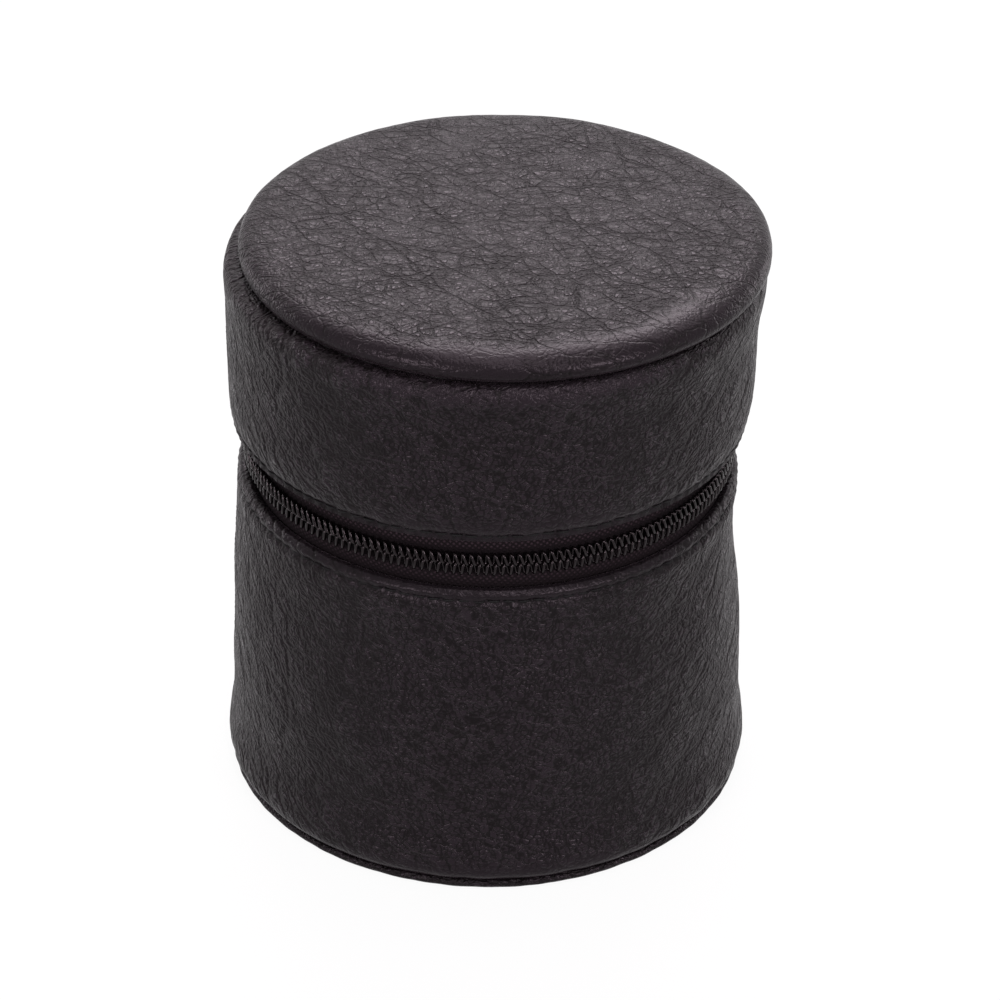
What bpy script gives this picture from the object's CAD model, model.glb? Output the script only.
"""The zipped leather lens pouch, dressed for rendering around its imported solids.

Shapes are worked out in millimetres, in the solids' own frame: +Z up, the front at -Y, azimuth
counted from the front towards +X. make_piece() turns each mesh to metres.
"""

import logging
import math
from dataclasses import dataclass
from enum import Enum
from functools import partial
from typing import Callable, Sequence

import bmesh
import bpy
from mathutils import Matrix, Vector, noise
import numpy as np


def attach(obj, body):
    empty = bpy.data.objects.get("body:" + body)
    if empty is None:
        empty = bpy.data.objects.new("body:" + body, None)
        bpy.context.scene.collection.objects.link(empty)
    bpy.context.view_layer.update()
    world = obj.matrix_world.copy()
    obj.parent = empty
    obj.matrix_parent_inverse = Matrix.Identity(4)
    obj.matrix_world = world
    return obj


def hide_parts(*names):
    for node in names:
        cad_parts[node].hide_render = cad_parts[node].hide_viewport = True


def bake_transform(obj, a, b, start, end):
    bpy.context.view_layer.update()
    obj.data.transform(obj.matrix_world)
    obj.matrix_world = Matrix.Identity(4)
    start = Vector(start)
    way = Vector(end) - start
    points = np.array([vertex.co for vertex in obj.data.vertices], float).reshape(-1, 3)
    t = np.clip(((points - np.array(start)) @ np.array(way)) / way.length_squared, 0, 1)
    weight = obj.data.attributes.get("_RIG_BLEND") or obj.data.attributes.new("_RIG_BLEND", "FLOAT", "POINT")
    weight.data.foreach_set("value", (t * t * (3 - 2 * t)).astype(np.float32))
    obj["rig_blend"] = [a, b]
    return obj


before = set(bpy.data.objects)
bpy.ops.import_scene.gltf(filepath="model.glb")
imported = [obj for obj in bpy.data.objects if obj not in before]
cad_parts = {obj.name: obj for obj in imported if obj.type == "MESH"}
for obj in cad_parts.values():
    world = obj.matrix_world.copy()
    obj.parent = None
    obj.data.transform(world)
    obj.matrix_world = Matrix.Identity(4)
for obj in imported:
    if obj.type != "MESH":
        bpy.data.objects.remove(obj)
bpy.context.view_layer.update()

LOG = logging.getLogger("lens_pouch")
MM = 0.001
# How near points are joined, and how finely foam and lining are divided, in millimetres
WELD = 1e-4
PADDING_STEP = 1.6
PADDING_STEPS = 160
DISC_PADDING_STEPS = 120
LINING_STEP = 1.2
Point = tuple[float, float]
Mesh = bmesh.types.BMesh
Material = bpy.types.Material
Object = bpy.types.Object
Socket = bpy.types.NodeSocket
Adder = Callable[..., bpy.types.Node]


class Body(Enum):
    """The four moving bodies of the pouch."""

    POUCH = "pouch_body"
    LID = "lid"
    SLIDER = "slider"
    PULL = "pull"


class Wrap(Enum):
    """How a pattern lies on a piece."""

    FLAT = "flat"
    ROUND = "round"


# Measures shared by the sub-assemblies


@dataclass(frozen=True)
class PouchSizes:
    """Radii and heights of the pouch in millimetres, as its solids have them."""

    waist: float = 37.3
    leather: float = 1.0
    hem_inner: float = 35.6
    channel_inner: float = 36.3
    tape_outer: float = 35.45
    tape_inner: float = 34.95
    lining_outer: float = 34.8
    lining_inner: float = 34.2
    coil_inner: float = 35.6
    coil_outer: float = 37.2
    flange_inner: float = 35.4
    board: float = 35.25
    base: float = 39.1
    base_seam: float = 37.07
    foot: float = 39.9
    pinch: float = 38.9
    belly: float = 38.65
    lid_edge: float = 38.3
    lid_flat: float = 38.77
    lid_mid: float = 38.9
    lid_bulge: float = 39.4
    wall_turn: float = 38.4
    disc: float = 39.0
    base_top: float = 1.5
    wall_bottom: float = 1.8
    base_seam_z: float = 3.05
    base_foam_bottom: float = 3.3
    wall_foam_bottom: float = 3.55
    foot_z: float = 4.1
    base_foam_top: float = 5.7
    base_lining_bottom: float = 5.85
    base_lining_top: float = 6.45
    pinch_z: float = 11.0
    belly_z: float = 25.35
    waist_z: float = 42.25
    tape_bottom: float = 44.8
    hem_bottom: float = 45.6
    body_stitch_z: float = 49.7
    hinge_lining_bottom: float = 49.9
    body_top: float = 51.6
    zip_centre: float = 56.0
    lid_bottom: float = 60.4
    lid_stitch_z: float = 61.5
    hinge_lining_top: float = 62.1
    lid_flat_z: float = 65.0
    lid_hem_top: float = 66.4
    tape_top: float = 67.2
    lid_mid_z: float = 78.3
    lid_bulge_z: float = 83.95
    wall_lining_top: float = 85.1
    lid_lining_bottom: float = 85.25
    lid_lining_top: float = 85.85
    lid_wall_top: float = 86.0
    disc_bottom: float = 86.3
    disc_top: float = 91.0


SIZES = PouchSizes()


def polar(azimuth: float, radius: float, height: float) -> Vector:
    """Gives the point at an azimuth in degrees, a radius and a height."""
    turn = math.radians(azimuth)
    return Vector((radius * math.sin(turn), -radius * math.cos(turn), height))


def azimuth_of(point: Vector) -> float:
    """Gives a point's azimuth in degrees, from -180 to 180."""
    return math.degrees(math.atan2(point.x, -point.y))


def ease(value: float, start: float, end: float) -> float:
    """Rises smoothly from 0 at start to 1 at end."""
    share = min(max((value - start) / (end - start), 0.0), 1.0)
    return share * share * (3 - 2 * share)


def hill(value: float, middle: float, half_width: float) -> float:
    """Gives a smooth hill that is 1 at its middle."""
    return math.exp(-(((value - middle) / half_width) ** 2))


def soft(point: Vector, cell: float, seed: float) -> float:
    """Gives smooth noise of about -1 to 1, with lumps about one cell across."""
    return noise.noise(point / cell + Vector((seed, -seed, 2 * seed)))


def soft_run(points: Sequence[Point], step: float) -> list[Point]:
    """Draws a soft curve through points.

    Args:
        points: Places as (radius, height).
        step: About how far apart the curve's own points lie.

    Returns:
        The curve's points, from the first place to the last.
    """
    run: list[Point] = []
    for i in range(len(points) - 1):
        before, start = points[max(i - 1, 0)], points[i]
        end, after = points[i + 1], points[min(i + 2, len(points) - 1)]
        count = max(1, round(math.dist(start, end) / step))
        for k in range(count):
            t = k / count
            place = []
            for a, b, c, d in zip(before, start, end, after):
                bend, twist = 2 * a - 5 * b + 4 * c - d, 3 * b - a - 3 * c + d
                place.append(0.5 * (2 * b + (c - a) * t + bend * t**2 + twist * t**3))
            run.append(tuple(place))
    return run + [tuple(points[-1])]


def straight_run(points: Sequence[Point], step: float) -> list[Point]:
    """Divides the straight lines between points.

    Args:
        points: Places as (radius, height).
        step: About how far apart the new points lie.

    Returns:
        The points, from the first place to the last.
    """
    run: list[Point] = []
    for start, end in zip(points, points[1:]):
        count = max(1, round(math.dist(start, end) / step))
        for k in range(count):
            t = k / count
            run.append((start[0] + (end[0] - start[0]) * t, start[1] + (end[1] - start[1]) * t))
    return run + [tuple(points[-1])]


# Mesh work


def spun(
    outline: Sequence[Point],
    steps: int,
    closed: bool = True,
    start: float = -180.0,
    sweep: float = 360.0,
) -> Mesh:
    """Turns an outline about the pouch's axis.

    Args:
        outline: Points as (radius, height).
        steps: How many steps the turn has.
        closed: Whether the outline's last point joins its first.
        start: The azimuth where the turn starts.
        sweep: How far it turns, in degrees.

    Returns:
        The mesh. Its float layer "run" holds each point's distance along the outline.
    """
    bm = bmesh.new()
    run = bm.verts.layers.float.new("run")
    verts = []
    travelled = 0.0
    for i, (radius, height) in enumerate(outline):
        if i:
            travelled += math.dist(outline[i - 1], outline[i])
        vert = bm.verts.new(polar(start, radius, height))
        vert[run] = travelled
        verts.append(vert)
    pairs = list(zip(verts, verts[1:]))
    if closed:
        pairs.append((verts[-1], verts[0]))
    edges = [bm.edges.new(pair) for pair in pairs]
    full = abs(sweep - 360.0) < WELD
    bmesh.ops.spin(
        bm,
        geom=verts + edges,
        cent=(0, 0, 0),
        axis=(0, 0, 1),
        dvec=(0, 0, 0),
        angle=math.radians(sweep),
        steps=steps,
        use_merge=full,
        use_duplicate=False,
    )
    bmesh.ops.remove_doubles(bm, verts=bm.verts, dist=WELD)
    if not full:
        bmesh.ops.holes_fill(bm, edges=[edge for edge in bm.edges if edge.is_boundary])
    bmesh.ops.recalc_face_normals(bm, faces=bm.faces)
    return bm


def slab(radius: float, low: float, high: float, step: float, steps: int) -> Mesh:
    """Makes a flat disc from its radius, its heights and how finely it is divided."""
    outline = straight_run([(0.0, low), (radius, low), (radius, high), (0.0, high)], step)
    return spun(outline, steps, closed=False)


def wrap_around(bm: Mesh, radius: float) -> None:
    """Gives a spun mesh a UV map in millimetres: round the pouch, and along its outline.

    Args:
        bm: The mesh, with its "run" layer.
        radius: The radius at which the map keeps its true width.
    """
    layer = bm.loops.layers.uv.new("wrap")
    run = bm.verts.layers.float["run"]
    for face in bm.faces:
        middle = azimuth_of(face.calc_center_median())
        for loop in face.loops:
            turn = azimuth_of(loop.vert.co)
            if turn - middle > 180:
                turn -= 360
            elif middle - turn > 180:
                turn += 360
            loop[layer].uv = (math.radians(turn) * radius, loop.vert[run])


def shape(bm: Mesh, move: Callable[[float, float, float, Vector], Vector]) -> None:
    """Moves each point of a mesh.

    Args:
        bm: The mesh.
        move: Gives a point's movement from its azimuth, radius, height and normal.
    """
    bm.normal_update()
    moves = []
    for vert in bm.verts:
        radius = math.hypot(vert.co.x, vert.co.y)
        moves.append(move(azimuth_of(vert.co), radius, vert.co.z, vert.normal))
    for vert, step in zip(bm.verts, moves):
        vert.co += step


def paint(bm: Mesh, name: str, value: Callable[[float, float, float], float]) -> None:
    """Writes a number on each point of a mesh, for its material to read.

    Args:
        bm: The mesh.
        name: The layer's name.
        value: Gives the number from a point's azimuth, radius and height.
    """
    layer = bm.verts.layers.float.new(name)
    for vert in bm.verts:
        radius = math.hypot(vert.co.x, vert.co.y)
        vert[layer] = value(azimuth_of(vert.co), radius, vert.co.z)


def add_object(name: str, bm: Mesh, material: Material) -> Object:
    """Makes an object in metres of a mesh in millimetres.

    Args:
        name: The object's name.
        bm: The mesh, which is freed.
        material: The object's material.

    Returns:
        The object, at the origin.
    """
    bmesh.ops.scale(bm, vec=(MM, MM, MM), verts=bm.verts)
    mesh = bpy.data.meshes.new(name)
    bm.to_mesh(mesh)
    bm.free()
    mesh.shade_smooth()
    mesh.materials.append(material)
    made = bpy.data.objects.new(name, mesh)
    bpy.context.scene.collection.objects.link(made)
    return made


@dataclass(frozen=True)
class Finish:
    """A material, and the record's slot that it belongs to."""

    material: Material
    slot: str


def make_piece(name: str, bm: Mesh, finish: Finish, node: str, body: Body | None) -> Object:
    """Makes a piece of the pouch and says what it stands for.

    Args:
        name: The piece's name.
        bm: Its mesh in millimetres, which is freed.
        finish: Its finish.
        node: The solid that it replaces.
        body: The body that it rides on, or None where it crosses a joint.

    Returns:
        The piece.
    """
    piece = add_object(name, bm, finish.material)
    if body is not None:
        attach(piece, body.value)
    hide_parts(node)
    LOG.info("%s: %d faces", name, len(piece.data.polygons))
    return piece


# Finishes

MULTIPLY = {"operation": "MULTIPLY"}
MULTIPLY_ADD = {"operation": "MULTIPLY_ADD"}
SMOOTH = {"interpolation_type": "SMOOTHSTEP"}
COLOURS = {"data_type": "RGBA"}
# The Mix node's colour sockets, by number
FIRST, SECOND, MIXED = 6, 7, 2
Colour = tuple[float, float, float, float]


def linear(colour: str) -> Colour:
    """Turns an sRGB hex colour to linear red, green, blue and alpha."""
    parts = [int(colour[i : i + 2], 16) / 255 for i in (1, 3, 5)]
    low = [part / 12.92 if part <= 0.04045 else ((part + 0.055) / 1.055) ** 2.4 for part in parts]
    return (low[0], low[1], low[2], 1.0)


def add_node(
    tree: bpy.types.NodeTree,
    kind: str,
    inputs: dict | None = None,
    settings: dict | None = None,
) -> bpy.types.Node:
    """Adds a node with its settings and links.

    Args:
        tree: The node tree.
        kind: The node's type, without its ShaderNode prefix.
        inputs: Values, nodes or sockets for its inputs, by name or number.
        settings: The node's own options.

    Returns:
        The node.
    """
    node = tree.nodes.new("ShaderNode" + kind)
    for key, value in (settings or {}).items():
        setattr(node, key, value)
    for key, value in (inputs or {}).items():
        if isinstance(value, bpy.types.Node):
            value = value.outputs[0]
        if isinstance(value, Socket):
            tree.links.new(value, node.inputs[key])
        else:
            node.inputs[key].default_value = value
    return node


def new_material(name: str) -> tuple[Material, Adder]:
    """Makes an empty node material, and gives it with what adds nodes to it."""
    material = bpy.data.materials.new(name)
    material.use_nodes = True
    material.node_tree.nodes.clear()
    return material, partial(add_node, material.node_tree)


def millimetres(add: Adder, wrap: Wrap) -> Socket:
    """Adds the nodes that give a pattern its place in millimetres.

    Args:
        add: Adds a node to the material.
        wrap: FLAT reads Object coordinates, and ROUND the piece's own map.

    Returns:
        The socket with the place.
    """
    if wrap is Wrap.ROUND:
        return add("UVMap", None, {"uv_map": "wrap"}).outputs[0]
    place = add("TexCoord").outputs["Object"]
    return add("VectorMath", {0: place, "Scale": 1 / MM}, {"operation": "SCALE"}).outputs[0]


class Look:
    """What the finishes share: a node material with one principled shader."""

    def inputs(self, add: Adder, place: Socket) -> dict:
        """Adds the look's nodes and gives its shader's inputs.

        Args:
            add: Adds a node to the material.
            place: The place in millimetres, which the look's nodes start from.

        Returns:
            Values, nodes and sockets for the shader's inputs, by name.
        """
        raise NotImplementedError

    def build(self, name: str, wrap: Wrap = Wrap.FLAT) -> Material:
        """Makes the material.

        Args:
            name: The material's name.
            wrap: How its pattern lies on the piece.

        Returns:
            The material.
        """
        material, add = new_material(name)
        shader = add("BsdfPrincipled", self.inputs(add, millimetres(add, wrap)))
        add("OutputMaterial", {"Surface": shader})
        return material


@dataclass(frozen=True)
class CreaseNet:
    """A net of creases in leather, in millimetres and degrees."""

    across: float
    stretch: float
    turn: float
    line: float
    depth: float
    patch: float = 0.0
    starts: float | None = None
    full: float | None = None


@dataclass(frozen=True)
class NappaLeather(Look):
    """Drum-dyed black nappa, milled: a fine pebble grain, crossing creases and a waxy sheen."""

    nets: tuple[CreaseNet, ...]
    valley: str = "#040303"
    crown: str = "#1a1519"
    pebble: CreaseNet = CreaseNet(0.75, 1.15, 12, 0.22, 0.085)
    drift_mm: float = 0.9
    drift_cell_mm: float = 3.5
    pore_mm: float = 0.22
    pore_depth: float = 0.012
    streak_mm: float = 0.34
    streak_length_mm: float = 3.5
    streak_depth: float = 0.05
    dyed_depth: float = 0.07
    smooth_dye: float = 0.35
    matt_depth: float = 0.14
    roughness: float = 0.27
    valley_roughness: float = 0.45
    specular: float = 0.1
    specular_tint: Colour = (1.0, 0.87, 0.95, 1.0)
    sheen: float = 0.02
    sheen_roughness: float = 0.5
    sheen_tint: Colour = (1.0, 0.78, 0.9, 1.0)

    def net_height(self, add: Adder, place: Socket, warped: Socket, net: CreaseNet) -> Socket:
        """Adds the nodes for one net.

        Args:
            add: Adds a node to the material.
            place: The place in millimetres.
            warped: The same place, drifted so that the creases wander.
            net: The net.

        Returns:
            The socket with the net's height, which is 0 or less, in millimetres.
        """
        turn = (0.0, 0.0, math.radians(net.turn))
        turned = add(
            "Mapping",
            {"Vector": warped, "Rotation": turn, "Scale": (net.stretch, 1.0, 1.0)},
            {"vector_type": "TEXTURE"},
        )
        edges = {"feature": "DISTANCE_TO_EDGE"}
        cells = add("TexVoronoi", {"Vector": turned, "Scale": 1 / net.across}, edges)
        line = {"From Max": net.line / net.across, "To Min": -net.depth, "To Max": 0.0}
        height = add("MapRange", {"Value": cells, **line}, SMOOTH)
        if net.patch:
            cloud = add("TexNoise", {"Vector": place, "Scale": 1 / net.patch, "Detail": 2.0})
            faint = {"From Min": 0.4, "From Max": 0.6, "To Min": 0.2}
            strength = add("MapRange", {"Value": cloud, **faint})
            height = add("Math", {0: height, 1: strength}, MULTIPLY)
        if net.starts is not None:
            around = add("SeparateXYZ", {0: place}).outputs["X"]
            side = {"Value": around, "From Min": net.starts, "From Max": net.full}
            height = add("Math", {0: height, 1: add("MapRange", side, SMOOTH)}, MULTIPLY)
        return height.outputs[0]

    def inputs(self, add: Adder, place: Socket) -> dict:
        """Adds the look's nodes and gives its shader's inputs."""
        drift = {"Vector": place, "Scale": 1 / self.drift_cell_mm, "Detail": 4.0}
        centred = {0: add("TexNoise", drift).outputs["Color"], 1: (0.5,) * 3}
        pull = add("VectorMath", centred, {"operation": "SUBTRACT"})
        drifted = {0: pull, 1: (2 * self.drift_mm,) * 3, 2: place}
        warped = add("VectorMath", drifted, MULTIPLY_ADD).outputs[0]
        grain = add("Attribute", None, {"attribute_name": "grain"}).outputs["Fac"]
        pebble = self.net_height(add, place, warped, self.pebble)
        pebble = add("Math", {0: pebble, 1: grain}, MULTIPLY)
        pores = add("TexNoise", {"Vector": place, "Scale": 1 / self.pore_mm, "Detail": 1.0})
        height = add("Math", {0: pores, 1: self.pore_depth, 2: pebble}, MULTIPLY_ADD)
        for net in self.nets:
            faded = add("Math", {0: self.net_height(add, place, warped, net), 1: grain}, MULTIPLY)
            height = add("Math", {0: height, 1: faded}, {"operation": "ADD"})
        # Fine pleats run across each edge where the hide is pulled over it
        streaks = (1 / self.streak_mm, 1 / self.streak_length_mm, 1.0)
        drawn = add("VectorMath", {0: millimetres(add, Wrap.ROUND), 1: streaks}, MULTIPLY)
        pleats = add("TexNoise", {"Vector": drawn, "Scale": 1.0, "Detail": 2.0}).outputs["Fac"]
        pulled = add("Attribute", None, {"attribute_name": "pulled"}).outputs["Fac"]
        pleat = add("Math", {0: pleats, 1: pulled}, MULTIPLY)
        height = add("Math", {0: pleat, 1: self.streak_depth, 2: height}, MULTIPLY_ADD)
        bump = add("Bump", {"Height": height, "Distance": MM, "Strength": 1.0})
        worn = add("MapRange", {"Value": height, "From Min": -self.dyed_depth, "From Max": 0.0})
        # Where the hide is drawn smooth its dye stays darker
        smooth = add("MapRange", {"Value": grain, "To Min": self.smooth_dye})
        worn = add("Math", {0: worn, 1: smooth}, MULTIPLY)
        dyes = {FIRST: linear(self.valley), SECOND: linear(self.crown)}
        colour = add("Mix", {"Factor": worn, **dyes}, COLOURS)
        # Handling polishes the crowns and leaves the valleys matt
        matt = {"Value": height, "From Min": -self.matt_depth, "From Max": 0.0}
        gloss = {"To Min": self.valley_roughness, "To Max": self.roughness}
        return {
            "Base Color": colour.outputs[MIXED],
            "Roughness": add("MapRange", matt | gloss),
            "Specular IOR Level": self.specular,
            "Specular Tint": self.specular_tint,
            "Sheen Weight": self.sheen,
            "Sheen Roughness": self.sheen_roughness,
            "Sheen Tint": self.sheen_tint,
            "Normal": bump,
        }


@dataclass(frozen=True)
class WovenCloth(Look):
    """Plain or twill woven yarn: fine ribs that shine a little where each yarn crosses over."""

    colour: str
    yarn_mm: float
    slant: float
    bump_mm: float = 0.05
    roughness: float = 0.85
    valley_share: float = 0.55
    specular: float = 0.25
    sheen: float = 0.1

    def inputs(self, add: Adder, place: Socket) -> dict:
        """Adds the look's nodes and gives its shader's inputs."""
        turned = add("Mapping", {"Vector": place, "Rotation": (0.0, 0.0, math.radians(self.slant))})
        # A wave texture's bands repeat every pi / 10 of its own units
        yarns = {"Vector": turned, "Scale": math.pi / 10 / self.yarn_mm}
        yarns |= {"Distortion": 0.4, "Detail": 1.0}
        ways = ({"wave_type": "BANDS", "bands_direction": way} for way in ("X", "Y"))
        warp, weft = (add("TexWave", yarns, way).outputs["Fac"] for way in ways)
        weave = add("Math", {0: warp, 1: weft}, MULTIPLY)
        bump = add("Bump", {"Height": weave, "Distance": self.bump_mm * MM, "Strength": 1.0})
        lit = linear(self.colour)
        deep = tuple(self.valley_share * part for part in lit[:3]) + (1.0,)
        # Less light reaches the cloth where its edges are tucked in
        shade = add("Attribute", None, {"attribute_name": "shade"}).outputs["Fac"]
        open_share = add("Math", {0: 1.0, 1: shade}, {"operation": "SUBTRACT"})
        shown = add("Math", {0: weave, 1: open_share}, MULTIPLY)
        colour = add("Mix", {"Factor": shown, FIRST: deep, SECOND: lit}, COLOURS)
        return {
            "Base Color": colour.outputs[MIXED],
            "Roughness": self.roughness,
            "Specular IOR Level": self.specular,
            "Sheen Weight": self.sheen,
            "Normal": bump,
        }


@dataclass(frozen=True)
class PlainFinish(Look):
    """A finish with one colour that varies a little, and a fine surface of its own."""

    colour: str
    roughness: float
    grit_mm: float
    bump_mm: float
    metallic: float = 0.0
    specular: float = 0.5
    variation: float = 0.25
    polish_range: float = 0.15
    tint: Colour = (1.0, 1.0, 1.0, 1.0)

    def inputs(self, add: Adder, place: Socket) -> dict:
        """Adds the look's nodes and gives its shader's inputs."""
        grit = add("TexNoise", {"Vector": place, "Scale": 1 / self.grit_mm, "Detail": 3.0})
        grit = grit.outputs["Fac"]
        bump = add("Bump", {"Height": grit, "Distance": self.bump_mm * MM, "Strength": 1.0})
        base = linear(self.colour)
        shaded = tuple((1 - self.variation) * part for part in base[:3]) + (1.0,)
        colour = add("Mix", {"Factor": grit, FIRST: shaded, SECOND: base}, COLOURS)
        low, high = (self.roughness * (1 + sign * self.polish_range) for sign in (-1, 1))
        polish = add("MapRange", {"Value": grit, "To Min": low, "To Max": min(1.0, high)})
        return {
            "Base Color": colour.outputs[MIXED],
            "Roughness": polish,
            "Metallic": self.metallic,
            "Specular IOR Level": self.specular,
            "Specular Tint": self.tint,
            "Normal": bump,
        }


class Finishes:
    """Every finish of the pouch, made once."""

    def __init__(self) -> None:
        """Makes the materials."""
        # Milled nappa over a board: fine wrinkles and longer cracks cross on the top
        top_nets = (
            CreaseNet(1.7, 1.5, 12, 0.17, 0.11, 7.0),
            CreaseNet(2.8, 3.2, 9, 0.18, 0.17, 9.0),
            CreaseNet(3.0, 2.2, -48, 0.16, 0.15, 9.0),
            CreaseNet(7.0, 3.0, -40, 0.2, 0.2, 14.0),
        )
        top = NappaLeather(top_nets).build("milled_nappa_top", Wrap.FLAT)
        self.top_leather = Finish(top, "leather")
        # The same hide pulled round the wall: smoother in front, folded at both sides
        wall_nets = (
            CreaseNet(1.35, 1.55, -48, 0.3, 0.27, 9.0, -10, -30),
            CreaseNet(1.5, 1.6, 27, 0.28, 0.26, 9.0, 10, 30),
            CreaseNet(3.4, 2.6, -52, 0.44, 0.4, 8.0, -12, -34),
            CreaseNet(3.6, 2.8, 24, 0.4, 0.36, 8.0, 14, 36),
            CreaseNet(2.0, 1.8, -26, 0.22, 0.15, 7.0),
            CreaseNet(1.9, 2.2, -22, 0.18, -0.12, 7.0),
        )
        pebble = CreaseNet(0.75, 1.15, 10, 0.22, 0.11)
        wall = NappaLeather(wall_nets, pebble=pebble, streak_mm=0.5, streak_depth=0.1)
        self.wall_leather = Finish(wall.build("milled_nappa_wall", Wrap.ROUND), "leather")
        # Plain weave nylon, matt, with yarns drawn at 0.5 mm so that they show
        nylon = WovenCloth("#2b2b2e", 0.5, 0.0)
        self.lining = Finish(nylon.build("woven_nylon_lining", Wrap.ROUND), "lining")
        self.disc_lining = Finish(nylon.build("woven_nylon_disc", Wrap.FLAT), "lining")
        # Polyester zip tape in a slanting twill
        twill = WovenCloth("#30262b", 0.62, 38.0, 0.13, valley_share=0.15, specular=0.06, sheen=0.0)
        self.tape = Finish(twill.build("twill_zip_tape", Wrap.ROUND), "zip_tape")
        # Extruded nylon filament: smooth and glossy, so each loop carries one glint
        filament = PlainFinish(
            "#080506", 0.12, 0.8, 0.003, specular=0.22, tint=(1.0, 0.85, 0.9, 1.0)
        )
        self.coil = Finish(filament.build("nylon_zip_coil"), "zip_coil")
        # Bonded polyester thread: its coating gives a soft shine
        bonded = PlainFinish("#0b0a0b", 0.55, 0.25, 0.03, specular=0.1)
        self.thread = Finish(bonded.build("bonded_thread"), "thread")
        # Closed-cell padding foam: dull, with fine pores
        self.foam = Finish(PlainFinish("#4a4a4c", 0.95, 0.6, 0.08).build("padding_foam"), "foam")
        # Pressed fibre board: dull, with coarse fibres
        self.board = PlainFinish("#8a7355", 0.85, 0.9, 0.05).build("pressed_fibre_board")
        # Black nickel plate on die-cast zinc: dark and mirror-like, with fine tumbling marks
        nickel = PlainFinish("#5a5a60", 0.26, 0.35, 0.006, metallic=1.0)
        self.metal = Finish(nickel.build("black_nickel_plate"), "dark_metal")


# Leather shaping


@dataclass(frozen=True)
class Wrinkles:
    """A patch of slanting wrinkles on a wall, in millimetres and degrees."""

    slant: float
    spacing: float
    stretch: float
    depth: float
    azimuth: float
    spread: float
    height: float
    reach: float
    seed: float

    def at(self, azimuth: float, height: float) -> float:
        """Gives how far the leather stands out.

        Args:
            azimuth: The place's azimuth.
            height: The place's height.

        Returns:
            The distance, which is negative in a valley.
        """
        patch = hill(azimuth, self.azimuth, self.spread) * hill(height, self.height, self.reach)
        if patch < 0.01:
            return 0.0
        along = math.radians(azimuth) * SIZES.belly
        turn = math.radians(self.slant)
        run = along * math.cos(turn) + height * math.sin(turn)
        across = height * math.cos(turn) - along * math.sin(turn)
        sway = 1.5 * noise.noise(Vector((run / 14, across / 9, self.seed + 5)))
        length = self.spacing * self.stretch
        place = Vector((run / length, across / self.spacing + sway, self.seed))
        ridge = 1 - abs(noise.noise(place))
        gate = 0.5 + 0.5 * noise.noise(Vector((run / 22, across / 12, self.seed + 9)))
        return self.depth * patch * gate * (ridge**4 - 0.35)


@dataclass(frozen=True)
class StitchRow:
    """A row of sewing round the pouch, in millimetres."""

    radius: float
    height: float
    pitch: float
    dip: float
    width: float = 0.46
    thread: float = 0.4
    filled: float = 0.86
    reach: float = 6.0

    @property
    def count(self) -> int:
        """How many stitches the row has."""
        return round(2 * math.pi * self.radius / self.pitch)

    def wander(self, azimuth: float) -> float:
        """Gives how far the row strays up from its line."""
        return 0.2 * soft(polar(azimuth, self.radius, 0), 2.4, 3.3 + self.height)

    def pull(self, azimuth: float, height: float) -> float:
        """Gives how far the sewing moves the leather, deepest in at the needle holes.

        Args:
            azimuth: The place's azimuth.
            height: The place's height.

        Returns:
            The distance outwards.
        """
        away = height - self.height - self.wander(azimuth)
        if abs(away) > self.reach:
            return 0.0
        phase = math.cos(math.radians(azimuth + 180) * self.count)
        uneven = 1 + 0.5 * soft(polar(azimuth, self.radius, 0), 3.1, self.height)
        hole = self.dip * hill(away, 0, self.width) * (0.8 - 0.2 * phase) * uneven
        pucker = 0.05 * phase * hill(abs(away), 1.0, 0.6)
        return pucker - hole

    def thread_mesh(self) -> Mesh:
        """Makes every stitch of the row, each dipping into its two needle holes."""
        bm = bmesh.new()
        bmesh.ops.create_uvsphere(bm, u_segments=8, v_segments=7, radius=0.5)
        bmesh.ops.rotate(bm, verts=bm.verts, matrix=Matrix.Rotation(math.pi / 2, 3, "Y"))
        length = self.filled * self.pitch
        bmesh.ops.scale(bm, verts=bm.verts, vec=(length, self.thread, self.thread))
        for vert in bm.verts:
            share = vert.co.x / (length / 2)
            vert.co.y -= 0.34 * share**4
        seat = self.radius - self.dip * 0.6
        bmesh.ops.translate(bm, verts=bm.verts, vec=(0, seat, self.height))
        bmesh.ops.spin(
            bm,
            geom=bm.verts[:] + bm.edges[:] + bm.faces[:],
            cent=(0, 0, 0),
            axis=(0, 0, 1),
            dvec=(0, 0, 0),
            angle=math.radians(360 * (self.count - 1) / self.count),
            steps=self.count - 1,
            use_merge=False,
            use_duplicate=True,
        )
        bmesh.ops.recalc_face_normals(bm, faces=bm.faces)
        shape(bm, lambda azimuth, radius, height, normal: Vector((0, 0, self.wander(azimuth))))
        return bm


BODY_ROW = StitchRow(SIZES.waist, SIZES.body_stitch_z, 2.2, dip=0.66)
LID_ROW = StitchRow(SIZES.lid_edge + 0.1, SIZES.lid_stitch_z, 2.2, dip=0.58, width=0.44)
RIM_ROW = StitchRow(SIZES.wall_turn - 1.3, SIZES.lid_wall_top + 0.15, 3.5, dip=0.1, thread=0.3)
BASE_ROW = StitchRow(SIZES.base_seam, SIZES.base_seam_z, 3.0, dip=0.0, thread=0.36)


def lid_lean(height: float) -> float:
    """Gives how far the soft lid leans to the right at a height, as the worn one does."""
    wall = 0.25 * ease(height, 60, 72) + 0.35 * ease(height, 76, 84)
    return wall + 1.4 * ease(height, 85.4, 86.4)


def lean_lid(azimuth: float, radius: float, height: float, normal: Vector) -> Vector:
    """Gives the lid's lean as the movement of a point."""
    return Vector((lid_lean(height), 0, 0))


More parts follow.
